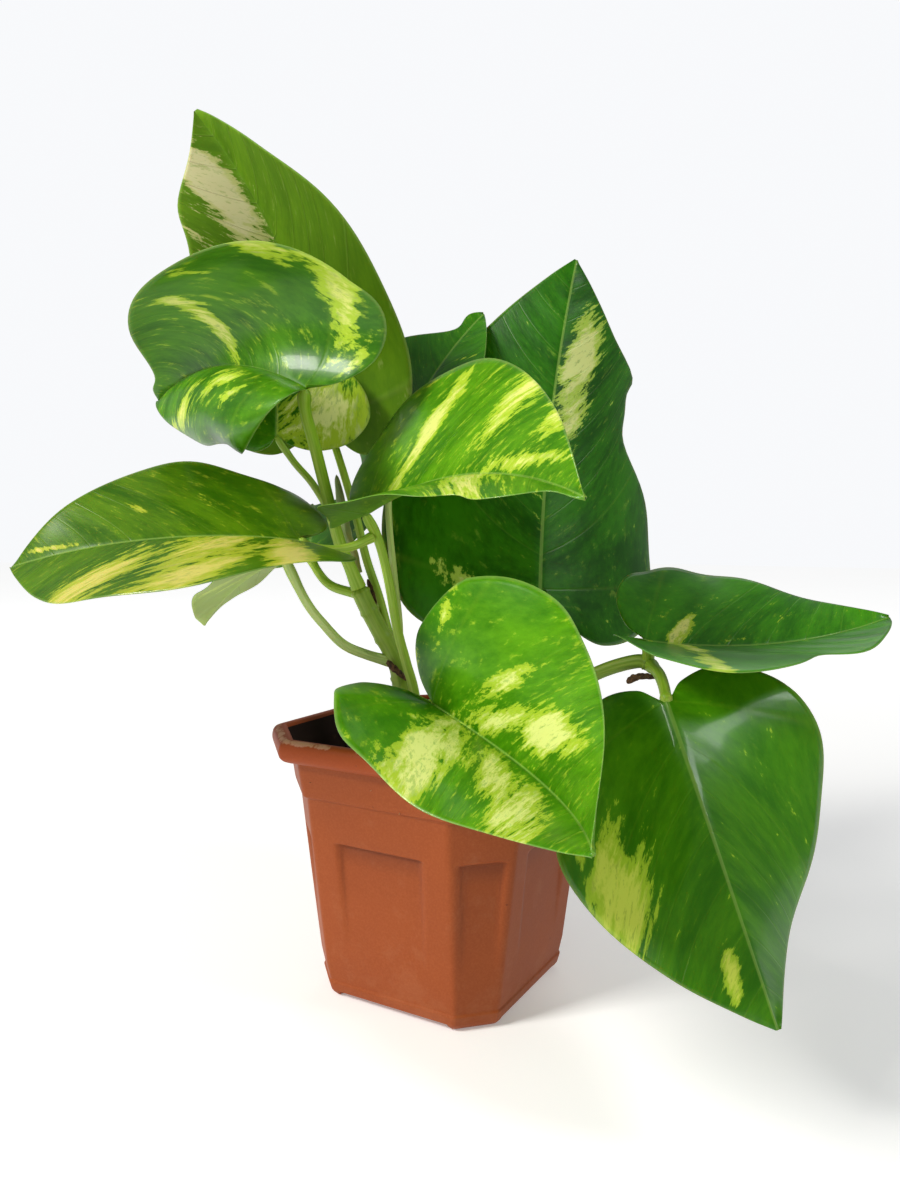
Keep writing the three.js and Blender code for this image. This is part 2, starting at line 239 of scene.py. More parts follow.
floor_finish, floor_graph = new_finish("pale_floor")
floor_place = floor_graph.place()
floor_away = floor_graph.add(
    "ShaderNodeVectorMath", {"operation": "LENGTH"}, {"Vector": floor_place}, "Value")
floor_tone = floor_graph.speckle(floor_place, 3.0)
floor_far = floor_graph.step(floor_away, DIM_WITHIN, FULL_BEYOND)
surface(floor_graph, {
    "Base Color": floor_graph.mix(floor_tone, rgb(238, 238, 236), rgb(244, 244, 243)),
    "Roughness": 0.9,
    "Emission Color": floor_graph.mix(floor_far, (0.36, 0.36, 0.36, 1), (1, 1, 1, 1)),
    "Emission Strength": 0.70,
})
floor_corners = [(x * FLOOR_REACH, y * FLOOR_REACH, 0) for x, y in ((-1, -1), (1, -1), (1, 1), (-1, 1))]
floor = build_mesh("floor", floor_corners, [(0, 1, 2, 3)], floor_finish)

SKY_LIGHT = 0.27
SKY_SEEN_MORE = 0.70               # what the camera sees above the light that the plant gets

world = bpy.data.worlds.new("sky")
world.use_nodes = True
world.node_tree.nodes.clear()
sky = Graph(world.node_tree)
seen = sky.add("ShaderNodeLightPath", {}, {}, "Is Camera Ray")
glow = sky.add("ShaderNodeBackground", {}, {
    "Color": (0.97, 0.98, 1.0, 1.0), "Strength": SKY_LIGHT + seen * SKY_SEEN_MORE})
sky.add("ShaderNodeOutputWorld", {}, {"Surface": glow})
scene.world = world

# ---- the pot ----
# A square nursery pot with wide chamfered corners, moulded in one piece from terracotta-coloured
# plastic. Its lip is rolled outwards, a plain neck band runs under it, and each face and corner
# has a shallow panel that fades out towards the foot.

MM = 0.001
POT_HEIGHT = 93 * MM
LIP_HALF = 52.7 * MM
BASE_HALF = 35.9 * MM
NECK_HALF = 44.3 * MM              # just under the neck band
FOOT_TOP = 5.5 * MM
CHAMFER_LOW = 5 * MM               # from here to the neck the chamfers grow
CHAMFER_SHARE = 0.30               # of half a side
CHAMFER_GROWTH = 0.085
NECK_BOTTOM = 73 * MM
LIP_BOTTOM = 85 * MM
PANEL_TOP = 58 * MM
PANEL_FADE = 20 * MM
PANEL_DEPTH = 1.7 * MM
WALL = 1.6 * MM
POT_FLOOR = 4 * MM
CHANNEL_HEIGHT = 2.2 * MM
CHANNEL_HALF = 22.5 * MM
FACE_PANEL_EDGE = (0.190, 0.207)   # where it starts and ends, as shares of the face
CORNER_PANEL_EDGE = (0.14, 0.18)
OUTLINE_STEPS = 640
CORNER_SMOOTHING = 6               # rounds of averaging along the outline
LIP_SMOOTHING = 2


def smoothstep(value, low, high):
    """0 below low and 1 above high, with a smooth rise between them."""
    share = np.clip((np.asarray(value, float) - low) / (high - low), 0, 1)
    return share * share * (3 - 2 * share)


def body_half(z):
    """The tapered body's half width at height z."""
    return BASE_HALF + (NECK_HALF - BASE_HALF) * (z - FOOT_TOP) / (NECK_BOTTOM - FOOT_TOP)


def panel(share, edge):
    """1 over a panel and 0 beside it, for places across a face or a corner from 0 to 1."""
    return smoothstep(share, *edge) * (1 - smoothstep(share, 1 - edge[1], 1 - edge[0]))


def outline(half, z, depth, softness):
    """The pot's chamfered square at height z, with panels of this depth and softened corners."""
    rise = float(np.clip((z - CHAMFER_LOW) / (NECK_BOTTOM - CHAMFER_LOW), 0, 1))
    chamfer = CHAMFER_SHARE + CHAMFER_GROWTH * rise
    flat = half * (1 - chamfer)
    corner_run = half * chamfer * math.sqrt(2)
    side_run = 2 * flat + corner_run
    run = (np.arange(OUTLINE_STEPS) + 0.5) / OUTLINE_STEPS * 4 * side_run
    side = np.floor(run / side_run).astype(int)
    along = run - side * side_run
    on_face = along < 2 * flat
    corner_share = (along - 2 * flat) / corner_run
    sunk = depth * np.where(on_face, panel(along / (2 * flat), FACE_PANEL_EDGE),
                            panel(corner_share, CORNER_PANEL_EDGE))
    cut = corner_share * half * chamfer
    x = np.where(on_face, along - flat, flat + cut - sunk * math.sqrt(0.5))
    y = np.where(on_face, -half + sunk, -half + cut + sunk * math.sqrt(0.5))
    points = np.stack(rotated(x, y, side * math.pi / 2), axis=-1)
    for _ in range(softness):
        points = (np.roll(points, 1, axis=0) + 2 * points + np.roll(points, -1, axis=0)) / 4
    return np.column_stack([points, np.full(OUTLINE_STEPS, z)])


def rounded(profile, steps=4):
    """A profile with each marked corner turned into a short curve."""
    result = []
    for i, (half, z, depth, radius) in enumerate(profile):
        here = np.array([half, z, depth])
        if radius == 0 or i in (0, len(profile) - 1):
            result.append(here)
            continue
        before, after = (np.array(profile[j][:3]) for j in (i - 1, i + 1))
        start = here + (before - here) * min(0.5, radius / np.linalg.norm((before - here)[:2]))
        end = here + (after - here) * min(0.5, radius / np.linalg.norm((after - here)[:2]))
        for k in range(steps + 1):
            t = k / steps
            result.append((1 - t) ** 2 * start + 2 * t * (1 - t) * here + t ** 2 * end)
    return result


def ringed_mesh(name, rings, material):
    """A closed skin over rings of points, with a fan over each end."""
    count = len(rings[0])
    points = list(np.concatenate(rings))
    faces = []
    for i in range(len(rings) - 1):
        for j in range(count):
            k = (j + 1) % count
            faces.append((i * count + j, i * count + k, (i + 1) * count + k, (i + 1) * count + j))
    for ring, first in ((rings[0], 0), (rings[-1], (len(rings) - 1) * count)):
        centre = len(points)
        points.append(np.mean(ring, axis=0))
        for j in range(count):
            corners = (first + j, centre, first + (j + 1) % count)
            faces.append(corners if first == 0 else corners[::-1])
    return build_mesh(name, points, faces, material)


def add_attribute(piece, name, vectors):
    """Stores a vector for each point of a piece's mesh, for its material to read."""
    attribute = piece.data.attributes.new(name, "FLOAT_VECTOR", "POINT")
    attribute.data.foreach_set("vector", np.asarray(vectors, np.float32).ravel())


def on_body(z, depth=0, rounding=0, out=0):
    """A corner of the profile that lies on the tapered body, or this far outside it."""
    return body_half(z) + out, z, depth, rounding


# The wall from the underside, up the outside, over the lip and down the inside. Each corner is
# (half width, height, panel depth, size of the rounding).
pot_profile = [
    (BASE_HALF - 14 * MM, 0, 0, 0),
    (BASE_HALF - 2.6 * MM, 0, 0, 0.8 * MM),
    (BASE_HALF - 0.9 * MM, 1.8 * MM, 0, 0.8 * MM),
    (BASE_HALF, 5.4 * MM, 0, 0.3 * MM),
    (BASE_HALF - 0.4 * MM, 6.1 * MM, 0, 0.3 * MM),
    on_body(12 * MM),
    on_body(PANEL_FADE, 0, 3 * MM),
    on_body(30 * MM, 0.45 * MM),
    on_body(40 * MM, 0.90 * MM),
    on_body(50 * MM, 1.35 * MM),
    on_body(PANEL_TOP - 0.8 * MM, PANEL_DEPTH, 0.3 * MM),
    on_body(PANEL_TOP, 0, 0.3 * MM),
    on_body(65 * MM),
    on_body(NECK_BOTTOM - 0.9 * MM, 0, 0.5 * MM),
    on_body(NECK_BOTTOM, 0, 0.5 * MM, 1.2 * MM),
    (body_half(NECK_BOTTOM) + 1.5 * MM, NECK_BOTTOM + 1.5 * MM, 0, 0.5 * MM),
    (46.5 * MM, 80 * MM, 0, 0),
    (47.2 * MM, LIP_BOTTOM, 0, 0.8 * MM),
    (LIP_HALF - 2 * MM, LIP_BOTTOM + 0.3 * MM, 0, 1.0 * MM),
    (LIP_HALF - 0.3 * MM, LIP_BOTTOM + 1.9 * MM, 0, 1.0 * MM),
    (LIP_HALF, LIP_BOTTOM + 4.2 * MM, 0, 1.2 * MM),
    (LIP_HALF - 0.6 * MM, POT_HEIGHT - 1.2 * MM, 0, 1.2 * MM),
    (LIP_HALF - 2.2 * MM, POT_HEIGHT, 0, 1.2 * MM),
    (LIP_HALF - 4.4 * MM, POT_HEIGHT, 0, 1.0 * MM),
    (LIP_HALF - 5.0 * MM, POT_HEIGHT - 1.8 * MM, 0, 0),
    (47.2 * MM - WALL, LIP_BOTTOM, 0, 1.0 * MM),
    on_body(NECK_BOTTOM, 0, 0.8 * MM, -0.2 * MM),
    on_body(PANEL_TOP, 0, 0.3 * MM, -WALL),
    on_body(PANEL_TOP - 1 * MM, PANEL_DEPTH, 0.3 * MM, -WALL),
    on_body(PANEL_FADE, out=-WALL),
    (BASE_HALF - 2.2 * MM, POT_FLOOR, 0, 0.8 * MM),
    (BASE_HALF - 14 * MM, POT_FLOOR, 0, 0),
]

pot_finish, pot_graph = new_finish("terracotta_plastic")
pot_place = pot_graph.place()
pot_height = pot_graph.parts_of(pot_place)[2]
# groove is painted shade along the panel edges and under their top ledges, stained is soil stain with
# painted shade on the inside wall, and worn is wear on the lip.
groove, inside_stain_and_shade, worn = pot_graph.parts_of(pot_graph.known("shade_stain_wear"))
grain = pot_graph.speckle(pot_place, 1400, 3.0)
mottle = pot_graph.speckle(pot_place, 45, 4.0, 0.6)
chafing = pot_graph.speckle(pot_place, 150, 4.0, 0.7)
scuffs = pot_graph.step(pot_graph.speckle(pot_place, 130, 5.0, 0.75), 0.66, 0.74)
pinholes = pot_graph.step(pot_graph.speckle(pot_place, 520, 1.0), 0.79, 0.82)
lip_share = pot_graph.step(pot_height, LIP_BOTTOM - 1 * MM, LIP_BOTTOM + 2 * MM)
# Soil stain and painted shade on the inside wall, broken up by the mottle.
soil_stain_and_shade = pot_graph.step(inside_stain_and_shade + (mottle - 0.5) * 0.9 + (scuffs - 0.5) * 0.1, 0.35, 0.60)
rubbed = pot_graph.step(worn + (chafing - 0.5) * 2.6, 0.78, 1.15)
dust = pot_graph.step(pot_graph.speckle(pot_place, 70, 5.0, 0.7) + pot_height * -2.0, 0.45, 0.60)
pot_colour = pot_graph.over(
    pot_graph.mix(mottle, rgb(142, 66, 26), rgb(154, 75, 32)),
    (pot_graph.step(grain, 0.35, 0.75) * 0.30, rgb(172, 90, 46)),
    (scuffs * 0.15, rgb(190, 120, 80)),
    (lip_share * 0.5, rgb(158, 64, 20)),
    # Painted shade: dark brown along the panel edges and under their top ledges.
    (groove * 0.45, rgb(84, 36, 18)),
    # Soil stain and painted shade: near black over the inside wall above the soil.
    (soil_stain_and_shade * 0.97, rgb(20, 12, 9)),
    (rubbed * 0.60, rgb(218, 172, 144)),
    (pinholes * 0.5, rgb(96, 42, 20)),
    (dust * 0.06, rgb(206, 150, 110)))
pot_relief = grain * 0.6 + pot_graph.speckle(pot_place, 420, 2.0) * 0.8
surface(pot_graph, {
    "Base Color": pot_colour,
    "Roughness": 0.44 + mottle * 0.12 + scuffs * 0.12 + soil_stain_and_shade * 0.3,
    "Normal": pot_graph.bump(pot_relief, 0.05 * MM),
    "Specular IOR Level": 0.20,
})


def hump(value, middle, spread):
    """1 at the middle, and less to both sides of it."""
    return math.exp(-((value - middle) / spread) ** 2)


pot_rings = []
pot_shade_stain_wear = []
over_lip = False
for half, z, depth in rounded(pot_profile):
    softness = LIP_SMOOTHING if z > LIP_BOTTOM + 0.5 * MM else CORNER_SMOOTHING
    ring = outline(half, z, depth, softness)
    if z < CHANNEL_HEIGHT and half > BASE_HALF - 13 * MM:
        across = np.minimum(np.abs(ring[:, 0]), np.abs(ring[:, 1]))
        lifted = 1 - smoothstep(across, CHANNEL_HALF - 1 * MM, CHANNEL_HALF)
        ring[:, 2] = np.maximum(z, lifted * CHANNEL_HEIGHT)
    pot_rings.append(ring)
    # The painted shade, stain and wear: how near the foot of a panel's edge or under its top ledge (painted
    # shade), 1 on the inside (soil stain and painted shade), how near the lip's top edge (wear).
    inward, plain = (outline(half, z, deep, softness)[:, :2] for deep in (PANEL_DEPTH, 0))
    sunk = np.linalg.norm(inward - plain, axis=1) / PANEL_DEPTH
    edge = np.clip(1 - np.abs(sunk - 0.75) / 0.3, 0, 1) * depth / PANEL_DEPTH
    ledge_shade = sunk * hump(z, PANEL_TOP - 1.0 * MM, 0.5 * MM)
    over_lip = over_lip or z > POT_HEIGHT - 0.1 * MM
    inside = over_lip and z < POT_HEIGHT - 1.5 * MM
    lip_wear = hump(z, POT_HEIGHT - 0.5 * MM, 1.2 * MM) if half > LIP_HALF - 3 * MM else 0
    pot_shade_stain_wear.append(np.stack([np.maximum(edge, ledge_shade), np.full_like(sunk, inside),
                               np.full_like(sunk, lip_wear)], axis=-1))
pot = ringed_mesh("nursery_pot", pot_rings, pot_finish)

DRAIN_RADIUS = 1.9 * MM
DRAIN_ASIDE = 12 * MM              # from the middle of a side
DRAIN_INSET = 8.5 * MM             # from the base's edge
DRILL_LENGTH = 16 * MM
drains = bmesh.new()
for side in range(4):
    for aside in (-DRAIN_ASIDE, DRAIN_ASIDE):
        drilled = bmesh.ops.create_cone(drains, cap_ends=True, segments=24, radius1=DRAIN_RADIUS,
                                        radius2=DRAIN_RADIUS, depth=DRILL_LENGTH)
        place = (*rotated(aside, DRAIN_INSET - BASE_HALF, side * math.pi / 2), 0)
        bmesh.ops.translate(drains, verts=drilled["verts"], vec=place)
drain_mesh = bpy.data.meshes.new("drains")
drains.to_mesh(drain_mesh)
drains.free()
drain_tool = bpy.data.objects.new("drains", drain_mesh)
scene.collection.objects.link(drain_tool)
drill = pot.modifiers.new("drill", "BOOLEAN")
drill.operation = "DIFFERENCE"
drill.solver = "EXACT"
drill.object = drain_tool


def settle(piece):
    """Turns what the modifiers make into the piece's own plain mesh."""
    evaluated = piece.evaluated_get(bpy.context.evaluated_depsgraph_get())
    mesh = bpy.data.meshes.new_from_object(evaluated)
    piece.modifiers.clear()
    piece.data = mesh


settle(pot)
bpy.data.objects.remove(drain_tool)

# The drilling loses the painted shade, stain and wear, so each vertex takes those of the nearest ring
# point.
ring_points = np.concatenate(pot_rings)
finder = kdtree.KDTree(len(ring_points))
for i, point in enumerate(ring_points):
    finder.insert(point, i)
finder.balance()
nearest = [finder.find(vertex.co)[1] for vertex in pot.data.vertices]
add_attribute(pot, "shade_stain_wear", np.concatenate(pot_shade_stain_wear)[nearest])
pot.data.polygons.foreach_set("use_smooth", [True] * len(pot.data.polygons))
pot.data.set_sharp_from_angle(angle=math.radians(38))
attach(pot, "root")
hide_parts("pot")

# ---- the soil ----
# Dark peat-based potting mix, filled to a little under the lip and pressed down by watering.
# Its crust is lumpy, with loose crumbs, bits of coir fibre and a few grains of perlite on it.

SOIL_TOP = 80 * MM
SOIL_BOTTOM = POT_FLOOR + 0.35 * MM
SOIL_RINGS = 26
SOIL_SMOOTHING = 3
ROOM = WALL + 0.45 * MM            # from the pot's outside to the soil

soil_finish, soil_graph = new_finish("potting_mix")
soil_place = soil_graph.place()
clods = soil_graph.speckle(soil_place, 260, 6.0, 0.7)
damp = soil_graph.speckle(soil_place, 40, 3.0)
surface(soil_graph, {
    "Base Color": soil_graph.over(
        soil_graph.mix(soil_graph.step(clods, 0.35, 0.70), rgb(24, 16, 12), rgb(66, 46, 34)),
        (soil_graph.step(damp, 0.45, 0.65) * 0.5, rgb(30, 20, 16))),
    "Roughness": 0.75 + clods * 0.25,
    "Normal": soil_graph.bump(clods, 1.2 * MM),
})


def lumps(x, y):
    """How far the crust stands above its mean level."""
    broad = noise.noise(Vector((x * 60, y * 60, 2.0)))
    fine = noise.noise(Vector((x * 190, y * 190, 7.0)))
    return 1.3 * MM * broad + 0.7 * MM * fine


soil_rings = [outline(half, z, 0, SOIL_SMOOTHING) for half, z in (
    (BASE_HALF - 3 * MM, SOIL_BOTTOM),
    (body_half(PANEL_TOP - 3 * MM) - ROOM - PANEL_DEPTH, PANEL_TOP - 3 * MM),
    (body_half(NECK_BOTTOM) - ROOM, NECK_BOTTOM))]
for i in range(SOIL_RINGS):
    half = (body_half(SOIL_TOP) - ROOM + 0.4 * MM) * (1 - i / SOIL_RINGS)
    ring = outline(half, SOIL_TOP, 0, SOIL_SMOOTHING)
    for point in ring:
        point[2] = SOIL_TOP - 1.0 * MM + lumps(point[0], point[1])
    soil_rings.append(ring)
soil = ringed_mesh("soil_bed", soil_rings, soil_finish)
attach(soil, "root")
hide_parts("soil")


def set_input(modifier, tree, name, given):
    """Sets a named input of a Geometry Nodes modifier by its socket's identifier."""
    for item in tree.interface.items_tree:
        if item.item_type == "SOCKET" and item.in_out == "INPUT" and item.name == name:
            modifier[item.identifier] = given


FULL_TURN = 6.283                  # radians
FIBRE_TILT = 0.35


def litter_tree(name, finish, crumbs):
    """Scatters crumbs, or else short fibres, over the upward faces of what it is given."""
    tree = bpy.data.node_groups.new(name, "GeometryNodeTree")
    for label, kind in (("Geometry", "Geometry"), ("Density", "Float"), ("Smallest", "Float"),
                        ("Largest", "Float"), ("Length", "Float"), ("Seed", "Int"), ("Level", "Float")):
        tree.interface.new_socket(label, in_out="INPUT", socket_type="NodeSocket" + kind)
    tree.interface.new_socket("Geometry", in_out="OUTPUT", socket_type="NodeSocketGeometry")
    graph = Graph(tree)

    def asked(label):
        return graph.add("NodeGroupInput", {}, {}, label)

    normal_z = graph.parts_of(graph.add("GeometryNodeInputNormal"))[2]
    height = graph.parts_of(graph.add("GeometryNodeInputPosition"))[2]
    upward = normal_z.math("GREATER_THAN", 0.5) * height.math("GREATER_THAN", asked("Level"))
    points = graph.add("GeometryNodeDistributePointsOnFaces", {}, {
        "Mesh": asked("Geometry"), "Selection": upward, "Density": asked("Density"), "Seed": asked("Seed")})
    if crumbs:
        ball = graph.add("GeometryNodeMeshIcoSphere", {}, {"Radius": 1.0, "Subdivisions": 2}, "Mesh")
        position = graph.add("GeometryNodeInputPosition")
        wobble = graph.speckle(position, 1.3, 2.0) * 1.3 + 0.35
        shaped = graph.add("ShaderNodeVectorMath", {"operation": "SCALE"}, {
            "Vector": position, "Scale": wobble})
        grain_mesh = graph.add("GeometryNodeSetPosition", {}, {"Geometry": ball, "Position": shaped})
    else:
        path = graph.add("GeometryNodeCurveQuadraticBezier", {}, {
            "Resolution": 6, "Start": (-1, 0, 0), "Middle": (0, 0.55, 0.25), "End": (1, -0.1, 0)})
        section = graph.add("GeometryNodeCurvePrimitiveCircle", {}, {"Resolution": 5, "Radius": 0.022})
        grain_mesh = graph.add("GeometryNodeCurveToMesh", {}, {
            "Curve": path, "Profile Curve": section, "Fill Caps": True})
    size = graph.add("FunctionNodeRandomValue", {"data_type": "FLOAT"}, {
        "Min_001": asked("Smallest"), "Max_001": asked("Largest"), "Seed": asked("Seed")}, "Value_001")
    tilt = FULL_TURN if crumbs else FIBRE_TILT
    turn = graph.add("FunctionNodeRandomValue", {"data_type": "FLOAT_VECTOR"}, {
        "Min": (-tilt, -tilt, 0.0), "Max": (tilt, tilt, FULL_TURN), "Seed": asked("Seed")}, "Value")
    scale = graph.vector(size * asked("Length"), size, size)
    laid = graph.add("GeometryNodeInstanceOnPoints", {}, {
        "Points": points, "Instance": grain_mesh, "Rotation": turn, "Scale": scale})
    whole = graph.add("GeometryNodeRealizeInstances", {}, {"Geometry": laid})
    painted = graph.add("GeometryNodeSetMaterial", {}, {"Geometry": whole, "Material": finish})
    graph.add("NodeGroupOutput", {}, {"Geometry": painted})
    return tree


def mottled_finish(name, fineness, contrast, dark, pale, roughness, relief=0):
    """A dull finish that one fine noise turns from a dark colour to a pale one."""
    material, graph = new_finish(name)
    tone = graph.speckle(graph.place(), *fineness)
    share = graph.step(tone, *contrast) if contrast else tone
    inputs = {"Base Color": graph.mix(share, dark, pale), "Roughness": roughness[0] + tone * roughness[1]}
    if relief:
        inputs["Normal"] = graph.bump(tone, relief)
    surface(graph, inputs)
    return material


peat = mottled_finish(
    "peat_crumb", (180, 3.0), (0.35, 0.65), rgb(32, 22, 16), rgb(88, 62, 44), (0.85, 0.1))
coir = mottled_finish(
    "coir_fibre", (120, 3.0), (0.4, 0.6), rgb(112, 78, 50), rgb(186, 152, 112), (0.7, 0.1))
perlite = mottled_finish(
    "perlite", (900, 3.0), None, rgb(168, 158, 144), rgb(228, 222, 210), (0.8, 0.1))

# Each kind of litter: its tree, grains per square metre, smallest and largest in millimetres, how
# much longer than wide, and seed.
for name, tree, density, smallest, largest, length, seed in (
        ("soil_crumbs", litter_tree("crumbs", peat, True), 170000, 0.35, 1.25, 1.25, 3),
        ("soil_fibres", litter_tree("fibres", coir, False), 18000, 2.0, 5.5, 1.0, 11),
        ("soil_perlite", litter_tree("perlite_grains", perlite, True), 2500, 0.4, 0.9, 1.1, 21)):
    piece = bpy.data.objects.new(name, soil.data.copy())
    scene.collection.objects.link(piece)
    scatter = piece.modifiers.new("scatter", "NODES")
    scatter.node_group = tree
    asked_for = {"Density": density, "Smallest": smallest * MM, "Largest": largest * MM,
                 "Length": length, "Seed": seed, "Level": SOIL_TOP - 5 * MM}
    for label, given in asked_for.items():
        set_input(scatter, tree, label, given)
    settle(piece)
    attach(piece, "root")

# ---- the vines and the leaf stalks ----
# Solid, fleshy and waxy green stems. The main vine carries most of the leaves and a shorter one
# leans out to the right. Each leaf has a stalk of its own, which is grooved along one side and
# swells at its foot and where it turns into the midrib of its blade. Three stalks are rooted too.

FOOT = 67                          # how high the rooted stems start, inside the soil
STEM_SIDES = 20
STEM_RINGS = 90
GROOVE_DEPTH = 0.10                # of a stalk's radius
GROOVE_SPREAD = 0.5                # radians round the stalk

# Radius and route of each stem, in millimetres in the plant's frame: x to the right, y to the
# back, z up.
vines = {
    "vine_main": (3.2, [(-12, 0, FOOT), (-13, 0, 80), (-15, 0, 104), (-17, 0, 115), (-23, -1, 127),
        (-27, -2, 135), (-30, -3, 142)]),
    "vine_side": (2.3, [(14, -12, FOOT), (16, -12, 80), (27, -16, 98), (42, -22, 109),
        (53, -27, 116), (63, -33, 120), (67, -35, 119)]),
}

petioles = {
    "petiole_upper_left": (2.3, [(-30, -3, 142), (-33, -5, 150), (-36, -8, 158), (-39, -11, 171),
        (-43, -18, 191), (-45, -23, 201), (-45, -26, 208)]),
    "petiole_top_back": (1.7, [(-19, 1, 121), (-23, 4, 137), (-28, 6, 152), (-32, 8, 168),
        (-39, 18, 189), (-47, 34, 208)]),
    "petiole_behind_upper_left": (1.5, [(-30, 1, 141), (-36, 2, 157), (-41, 3, 169), (-47, 4, 179),
        (-54, 6, 187), (-60, 6, 196)]),
    "petiole_small_middle": (1.4, [(-17, 3, 112), (-16, 6, 126), (-18, 7, 146), (-20, 9, 168),
        (-20, 18, 189)]),
    "petiole_arched_middle": (1.9, [(-6, -6, FOOT), (-7, -6, 80), (-10, -7, 104), (-13, -8, 116),
        (-16, -9, 128), (-19, -11, 146), (-22, -15, 159), (-26, -21, 168)]),
    "petiole_low_left": (1.6, [(-24, -17, 160), (-30, -21, 157), (-36, -26, 156), (-42, -30, 157),
        (-46, -33, 159)]),
    "petiole_hanging_left": (1.9, [(-18, 0, 115), (-27, -3, 118), (-35, -6, 122), (-41, -10, 129),
        (-47, -14, 138), (-54, -18, 154)]),
    "petiole_behind_stems": (1.9, [(-28, 0, 139), (-34, 4, 140), (-41, 8, 142), (-46, 13, 146),
        (-51, 16, 154)]),
    "petiole_over_rim": (2.0, [(-2, -16, FOOT), (-3, -17, 80), (-4, -24, 96), (-4, -36, 105),
        (-3, -49, 109)]),
    "petiole_tall_right": (2.3, [(4, 4, FOOT), (5, 4, 80), (12, 9, 103), (22, 13, 120),
        (31, 11, 133), (35, 3, 141)]),
    "petiole_far_right": (2.2, [(66, -34, 119), (66, -36, 123), (65, -37, 127)]),
    "petiole_heart_front": (2.0, [(67, -36, 119), (67, -47, 118), (66, -58, 116), (65, -66, 113)]),
}


def catmull_rom(points, shares):
    """Points along a smooth curve that passes through the given ones, at shares from 0 to 1."""
    points = np.asarray(points, float)
    last = len(points) - 1
    padded = np.vstack([2 * points[0] - points[1], points, 2 * points[-1] - points[-2]])
    place = np.clip(np.asarray(shares, float), 0, 1) * last
    index = np.minimum(place.astype(int), last - 1)
    t = (place - index)[..., None]
    p0, p1, p2, p3 = (padded[index + k] for k in range(4))
    return 0.5 * (2 * p1 + (p2 - p0) * t + (2 * p0 - 5 * p1 + 4 * p2 - p3) * t ** 2
                  + (3 * p1 - p0 - 3 * p2 + p3) * t ** 3)


def unit(vectors):
    return vectors / np.linalg.norm(vectors, axis=-1, keepdims=True)


def carried_frames(path):
    """The direction along a path and two directions across it that turn no more than they must."""
    along = unit(np.gradient(path, axis=0))
    side = np.zeros_like(along)
    first = np.cross(along[0], (0.0, 1.0, 0.0))
    side[0] = first / np.linalg.norm(first)
    for i in range(1, len(path)):
        carried = side[i - 1] - along[i] * np.dot(side[i - 1], along[i])
        side[i] = carried / np.linalg.norm(carried)
    return along, side, np.cross(along, side)


def route_in_pot(route):
    return to_pot(np.array(route, float) * MM)


def ring_about(centre, radius, angles, side, across):
    """Points at these angles round a centre; the radius may differ from one to the next."""
    return centre + np.outer(radius * np.cos(angles), side) + np.outer(radius * np.sin(angles), across)


def stem_mesh(name, route, width_at, groove, material):
    """A fleshy stem along a route in metres; width_at gives its radius at a share of its length."""
    shares = np.linspace(0, 1, STEM_RINGS)
    path = catmull_rom(route, shares)
    _, side, across = carried_frames(path)
    angles = np.arange(STEM_SIDES) / STEM_SIDES * 2 * math.pi
    length = np.concatenate([[0], np.cumsum(np.linalg.norm(np.diff(path, axis=0), axis=1))])
    off_groove = np.angle(np.exp(1j * (angles - math.pi / 2)))
    dent = 1 - groove * np.exp(-((off_groove / GROOVE_SPREAD) ** 2))
    rings = [ring_about(path[i], width_at(share) * dent, angles, side[i], across[i])
             for i, share in enumerate(shares)]
    piece = ringed_mesh(name, rings, material)
    run = np.concatenate([np.repeat(length, STEM_SIDES), [0, length[-1]]])
    around = np.concatenate([np.tile(angles, STEM_RINGS), [0, 0]])
    add_attribute(piece, "run", np.stack([np.cos(around), np.sin(around), run], axis=-1))
    return piece


def stem_finish(name, shade, bright, pale):
    """Waxy green skin with fine lengthwise lines, paler streaks and a few brown specks."""
    material, graph = new_finish(name)
    around_x, around_y, length = graph.parts_of(graph.known("run"))
    lines = graph.speckle(graph.vector(around_x * 3.5, around_y * 3.5, length * 60), 1.0, 3.0, 0.6)
    streaks = graph.speckle(graph.vector(around_x * 1.4, around_y * 1.4, length * 18), 1.0, 2.0)
    specks = graph.step(graph.speckle(graph.place(), 420, 3.0, 0.6), 0.70, 0.76)
    surface(graph, {
        "Base Color": graph.over(
            graph.mix(graph.step(lines, 0.2, 0.8), shade, bright),
            (graph.step(streaks, 0.46, 0.70) * 0.55, pale),
            (specks * 0.5, rgb(120, 96, 50))),
        "Roughness": 0.36 + lines * 0.18,
        "Normal": graph.bump(lines, 0.04 * MM),
        "Specular IOR Level": 0.30,
        "Subsurface Weight": 0.12,
        "Subsurface Scale": 3 * MM,
    })
    return material


vine_finish = stem_finish("vine_skin", rgb(106, 138, 30), rgb(138, 168, 50), rgb(174, 194, 92))
stalk_finish = stem_finish("stalk_skin", rgb(118, 156, 26), rgb(150, 186, 50), rgb(186, 206, 96))
pale_stalk_finish = stem_finish(
    "pale_stalk_skin", rgb(152, 178, 82), rgb(178, 200, 110), rgb(204, 218, 150))

# Where along each vine a leaf has grown, as shares of its length.
JOINTS = {"vine_main": (0.40, 0.62, 0.80, 0.96), "vine_side": (0.45, 0.93)}
PALE_STALKS = ("petiole_hanging_left", "petiole_small_middle")


def vine_width(radius, joints):
    """A vine's radius along it: an even stem with a low ring at each joint and a rounded end."""
    def width_at(share):
        rings = sum(hump(share, joint, 0.012) for joint in joints)
        end = math.sqrt(max(0.0, 1 - ((share - 0.97) / 0.03) ** 2)) if share > 0.97 else 1.0
        return radius * (1 + 0.13 * rings) * max(end, 0.25)
    return width_at


